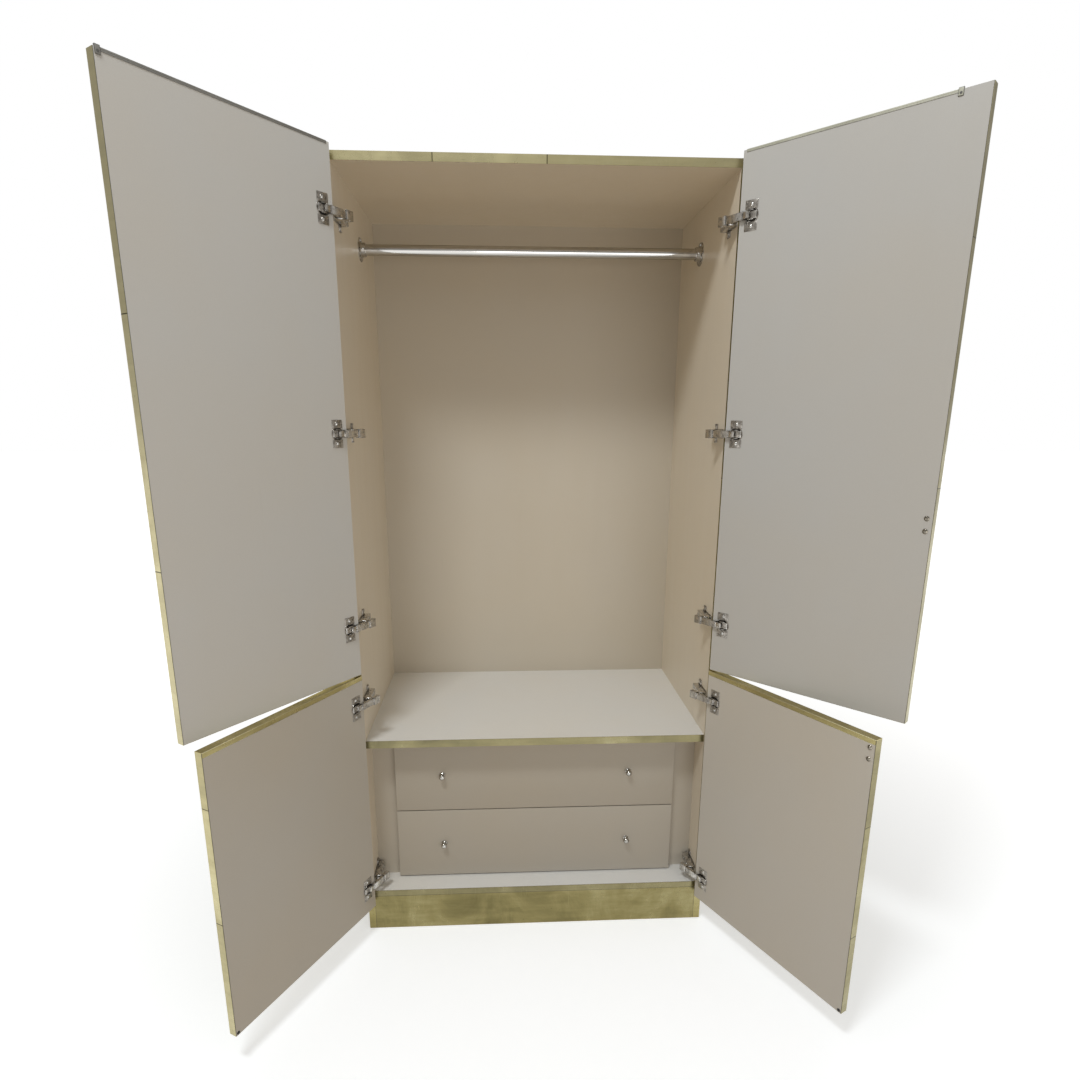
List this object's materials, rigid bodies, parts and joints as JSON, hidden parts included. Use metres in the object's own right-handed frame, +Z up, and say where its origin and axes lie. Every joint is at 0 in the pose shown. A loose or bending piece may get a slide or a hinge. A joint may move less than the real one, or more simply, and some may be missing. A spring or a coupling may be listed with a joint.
{
  "type": "armoire",
  "caption": "Tall free-standing armoire with metal-clad case and doors, an upper hanging space with a rail, and drawers behind short lower doors.",
  "frame": {"origin": "middle of the case's footprint, on the floor", "axes": "+Z up, the doors open towards -Y, +X to the right seen from the front"},
  "size_m": [1.6448, 1.0227, 2.131],
  "materials": {
    "aged_brass": "aged, mottled olive-gold brass sheet with fine scratches",
    "laminated_board": "satin almond laminate on board",
    "thin_board": "satin almond laminate on thin board",
    "chrome": "polished",
    "nickel_steel": "nickel-plated pressed steel",
    "screw_steel": "zinc-plated",
    "runner_steel": "zinc-plated rolled steel",
    "knob_chrome": "polished",
    "pull_brass": "satin",
    "strip_plastic": "matt dark olive"
  },
  "bodies": {
    "carcass": {"back_panel": "thin_board", "bottom_deck": "laminated_board", "case_screws": "screw_steel", "deck_support": "laminated_board", "drawer_fillers": "laminated_board", "drawer_outer_runners": "runner_steel", "drawer_partitions": "laminated_board", "edge_strips": "aged_brass", "fixed_shelf": "laminated_board", "hanging_rail": "chrome", "hinge_arms": "nickel_steel", "hinge_mounting_plates": "nickel_steel", "left_side_cladding": "aged_brass", "left_side_panel": "laminated_board", "plinth_board": "laminated_board", "plinth_cladding": "aged_brass", "rail_flanges": "chrome", "right_side_cladding": "aged_brass", "right_side_panel": "laminated_board", "top_cladding": "aged_brass", "top_panel": "laminated_board"},
    "upper_left_door": {"upper_left_door_cladding": "aged_brass", "upper_left_door_panel": "laminated_board", "upper_left_door_screws": "screw_steel", "upper_left_door_top_strip": "strip_plastic", "upper_left_hinge_cups": "nickel_steel"},
    "upper_left_links": {"upper_left_hinge_links": "nickel_steel"},
    "upper_right_door": {"upper_right_door_cladding": "aged_brass", "upper_right_door_panel": "laminated_board", "upper_right_door_pull": "pull_brass", "upper_right_door_screws": "screw_steel", "upper_right_door_top_strip": "strip_plastic", "upper_right_hinge_cups": "nickel_steel"},
    "upper_right_links": {"upper_right_hinge_links": "nickel_steel"},
    "lower_left_door": {"lower_left_door_cap": "aged_brass", "lower_left_door_cladding": "aged_brass", "lower_left_door_panel": "laminated_board", "lower_left_door_screws": "screw_steel", "lower_left_hinge_cups": "nickel_steel"},
    "lower_left_links": {"lower_left_hinge_links": "nickel_steel"},
    "lower_right_door": {"lower_right_door_cap": "aged_brass", "lower_right_door_cladding": "aged_brass", "lower_right_door_panel": "laminated_board", "lower_right_door_pull": "pull_brass", "lower_right_door_screws": "screw_steel", "lower_right_hinge_cups": "nickel_steel"},
    "lower_right_links": {"lower_right_hinge_links": "nickel_steel"},
    "lower_drawer": {"lower_drawer_bottom": "thin_board", "lower_drawer_ends": "laminated_board", "lower_drawer_front": "laminated_board", "lower_drawer_knobs": "knob_chrome", "lower_drawer_runners": "runner_steel", "lower_drawer_sides": "laminated_board"},
    "upper_drawer": {"upper_drawer_bottom": "thin_board", "upper_drawer_ends": "laminated_board", "upper_drawer_front": "laminated_board", "upper_drawer_knobs": "knob_chrome", "upper_drawer_runners": "runner_steel", "upper_drawer_sides": "laminated_board"}
  },
  "joints": [
    {"name": "upper_left_hinge", "type": "hinge", "parent": "carcass", "child": "upper_left_door", "pos_m": [-0.5, -0.2975, 1.475], "axis": [0, 0, -1], "range_deg": [-126, 39]},
    {"name": "upper_left_link_slide", "type": "slide", "parent": "carcass", "child": "upper_left_links", "axis": [-0.509, -0.8607, 0], "range_m": [-0.04692, 0.01473]},
    {"name": "upper_right_hinge", "type": "hinge", "parent": "carcass", "child": "upper_right_door", "pos_m": [0.5, -0.2975, 1.475], "axis": [0, 0, 1], "range_deg": [-133, 32]},
    {"name": "upper_right_link_slide", "type": "slide", "parent": "carcass", "child": "upper_right_links", "axis": [0.509, -0.8607, 0], "range_m": [-0.04951, 0.01214]},
    {"name": "lower_left_hinge", "type": "hinge", "parent": "carcass", "child": "lower_left_door", "pos_m": [-0.5, -0.2975, 0.4555], "axis": [0, 0, -1], "range_deg": [-119.5, 45.5]},
    {"name": "lower_left_link_slide", "type": "slide", "parent": "carcass", "child": "lower_left_links", "axis": [-0.509, -0.8607, 0], "range_m": [-0.04451, 0.01714]},
    {"name": "lower_right_hinge", "type": "hinge", "parent": "carcass", "child": "lower_right_door", "pos_m": [0.5, -0.2975, 0.4555], "axis": [0, 0, 1], "range_deg": [-118.5, 46.5]},
    {"name": "lower_right_link_slide", "type": "slide", "parent": "carcass", "child": "lower_right_links", "axis": [0.509, -0.8607, 0], "range_m": [-0.04414, 0.0175]},
    {"name": "upper_drawer_slide", "type": "slide", "parent": "carcass", "child": "upper_drawer", "axis": [0, -1, 0], "range_m": [0, 0.36]},
    {"name": "lower_drawer_slide", "type": "slide", "parent": "carcass", "child": "lower_drawer", "axis": [0, -1, 0], "range_m": [0, 0.36]}
  ],
  "couplings": [
    {"joint": "upper_left_link_slide", "follows": "upper_left_hinge", "m_per_rad": 0.021199},
    {"joint": "upper_right_link_slide", "follows": "upper_right_hinge", "m_per_rad": 0.021199},
    {"joint": "lower_left_link_slide", "follows": "lower_left_hinge", "m_per_rad": 0.021199},
    {"joint": "lower_right_link_slide", "follows": "lower_right_hinge", "m_per_rad": 0.021199}
  ]
}
